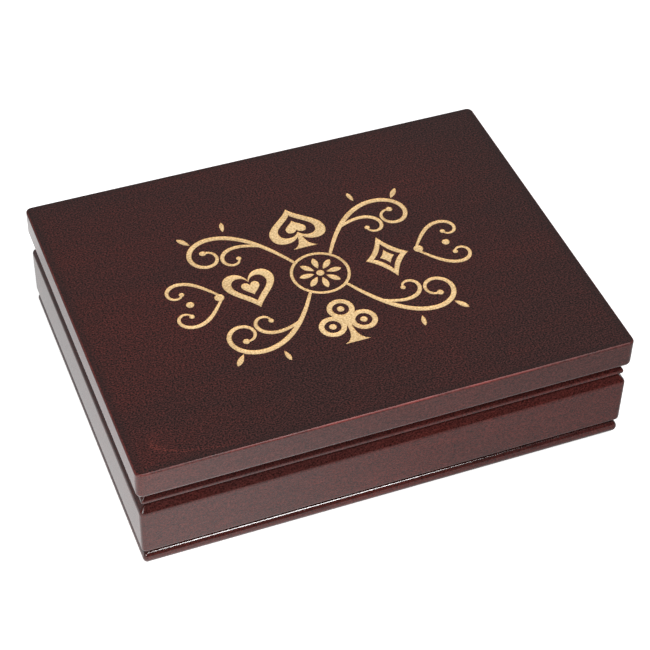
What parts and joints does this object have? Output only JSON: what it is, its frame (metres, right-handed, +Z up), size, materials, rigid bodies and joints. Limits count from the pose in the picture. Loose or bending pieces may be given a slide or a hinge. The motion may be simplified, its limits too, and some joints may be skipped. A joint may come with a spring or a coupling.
{
  "type": "playing card box",
  "caption": "Flat hinged wooden box with a moulded lid and plinth, lined wells for card decks and a channel for dice.",
  "frame": {"origin": "centre of the underside felt, on the surface the box stands on", "axes": "+X along the long side to the right, +Y towards the hinges at the back, +Z up"},
  "size_m": [0.1714, 0.1334, 0.045],
  "materials": {
    "rosewood": "dark red-brown stained wood under satin lacquer",
    "inner_wood": "dark stained wood, matt",
    "baize": "short-pile green baize",
    "foot_felt": "pressed green felt",
    "brass": "polished brass, lacquered"
  },
  "bodies": {
    "base": {"base_wall_front": "rosewood", "base_wall_right": "rosewood", "base_wall_back": "rosewood", "base_wall_left": "rosewood", "plinth_board": "rosewood", "foot_felt": "foot_felt", "divider_left": "inner_wood", "divider_right": "inner_wood", "end_block_front_left": "inner_wood", "end_block_back_left": "inner_wood", "end_block_front_right": "inner_wood", "end_block_back_right": "inner_wood", "well_lining_left": "baize", "well_lining_right": "baize", "dice_channel_lining": "baize", "hinge_left_base_leaf": "brass", "hinge_right_base_leaf": "brass", "hinge_left_pin": "brass", "hinge_right_pin": "brass", "hinge_left_base_screw_1": "brass", "hinge_left_base_screw_2": "brass", "hinge_right_base_screw_1": "brass", "hinge_right_base_screw_2": "brass"},
    "lid": {"lid_panel": "rosewood", "lid_rail_front": "rosewood", "lid_rail_right": "rosewood", "lid_rail_back": "rosewood", "lid_rail_left": "rosewood", "lid_pad": "baize", "hinge_left_lid_leaf": "brass", "hinge_right_lid_leaf": "brass", "hinge_left_lid_screw_1": "brass", "hinge_left_lid_screw_2": "brass", "hinge_right_lid_screw_1": "brass", "hinge_right_lid_screw_2": "brass"}
  },
  "joints": [
    {"name": "lid_hinge", "type": "hinge", "parent": "base", "child": "lid", "pos_m": [0, 0.0643, 0.0286], "axis": [-1, 0, 0], "range_deg": [0, 97]}
  ]
}
